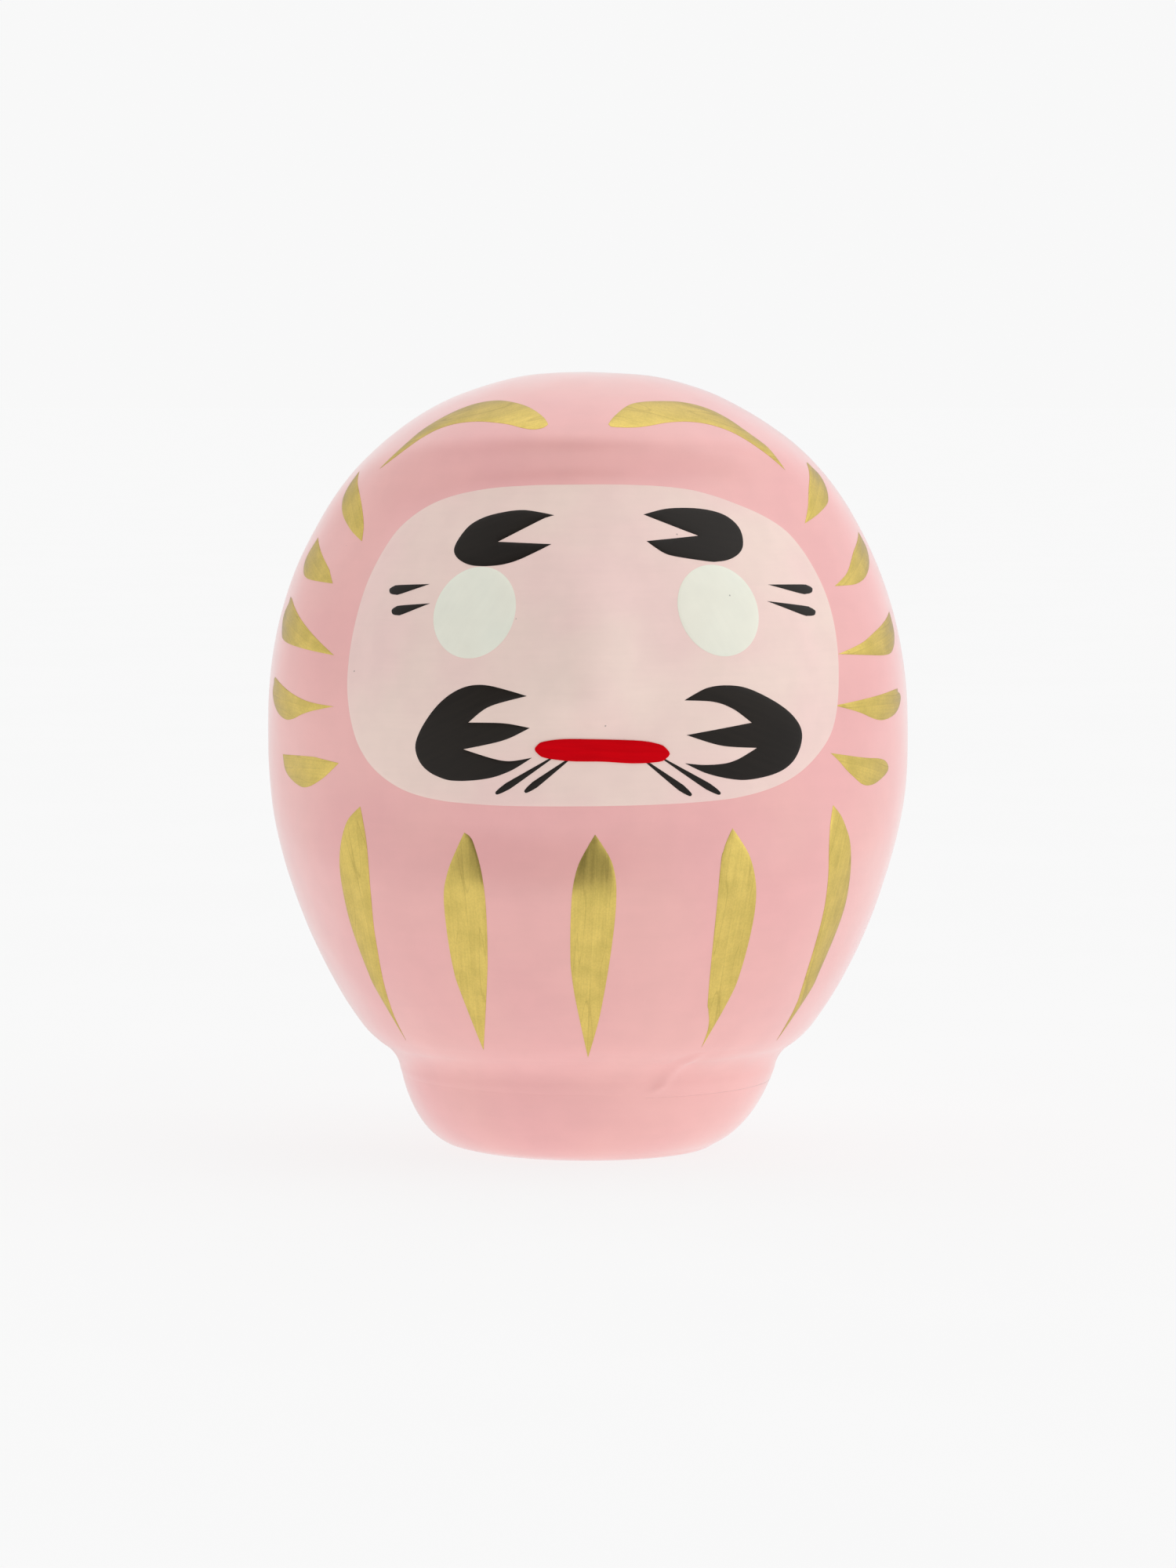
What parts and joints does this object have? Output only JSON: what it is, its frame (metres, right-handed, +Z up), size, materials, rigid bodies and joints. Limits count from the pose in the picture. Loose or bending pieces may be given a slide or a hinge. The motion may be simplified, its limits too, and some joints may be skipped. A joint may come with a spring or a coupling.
{
  "type": "daruma doll",
  "caption": "Hollow papier-mache roly-poly doll on a clay-weighted round foot, with a recessed face under a hood and hand-painted claw, drop and stripe marks; it stands on a small flat.",
  "frame": {"origin": "centre of the flat underside that the doll stands on", "axes": "+Z up; the face looks towards -Y; +X is to the right of somebody who looks at the face"},
  "size_m": [0.0948, 0.0947, 0.115],
  "materials": {
    "pink_paint": "moulded paper pulp under a white ground and satin pink paint",
    "pink_foot_paint": "moulded paper pulp under satin pink paint",
    "pink_strip_paint": "pasted paper band under satin pink paint",
    "clay": "dried clay, unpainted",
    "glue": "dried animal glue",
    "paper": "plain paper disc, unprinted",
    "face_paint": "thin matt coat of pale flesh paint",
    "white_paint": "thin matt coat of off-white paint",
    "black_paint": "thin satin coat of black ink paint",
    "red_paint": "thin coat of red lacquer paint",
    "gold_paint": "thin brushed coat of gold paint with lengthwise brush streaks"
  },
  "bodies": {
    "root": {"body_shell": "pink_paint", "foot_cup": "pink_foot_paint", "clay_weight": "clay", "glue_ring": "glue", "joint_strip": "pink_strip_paint", "base_seal": "paper", "face_coat": "face_paint", "eye_left": "white_paint", "eye_right": "white_paint", "brow_left": "black_paint", "brow_right": "black_paint", "beard_left": "black_paint", "beard_right": "black_paint", "temple_mark_left_upper": "black_paint", "temple_mark_left_lower": "black_paint", "temple_mark_right_upper": "black_paint", "temple_mark_right_lower": "black_paint", "whisker_left_outer": "black_paint", "whisker_left_inner": "black_paint", "whisker_right_inner": "black_paint", "whisker_right_outer": "black_paint", "mouth": "red_paint", "gold_brow_left": "gold_paint", "gold_brow_right": "gold_paint", "gold_drop_left_1": "gold_paint", "gold_drop_left_2": "gold_paint", "gold_drop_left_3": "gold_paint", "gold_drop_left_4": "gold_paint", "gold_drop_left_5": "gold_paint", "gold_drop_right_1": "gold_paint", "gold_drop_right_2": "gold_paint", "gold_drop_right_3": "gold_paint", "gold_drop_right_4": "gold_paint", "gold_drop_right_5": "gold_paint", "gold_stripe_1": "gold_paint", "gold_stripe_2": "gold_paint", "gold_stripe_3": "gold_paint", "gold_stripe_4": "gold_paint", "gold_stripe_5": "gold_paint"}
  },
  "joints": []
}
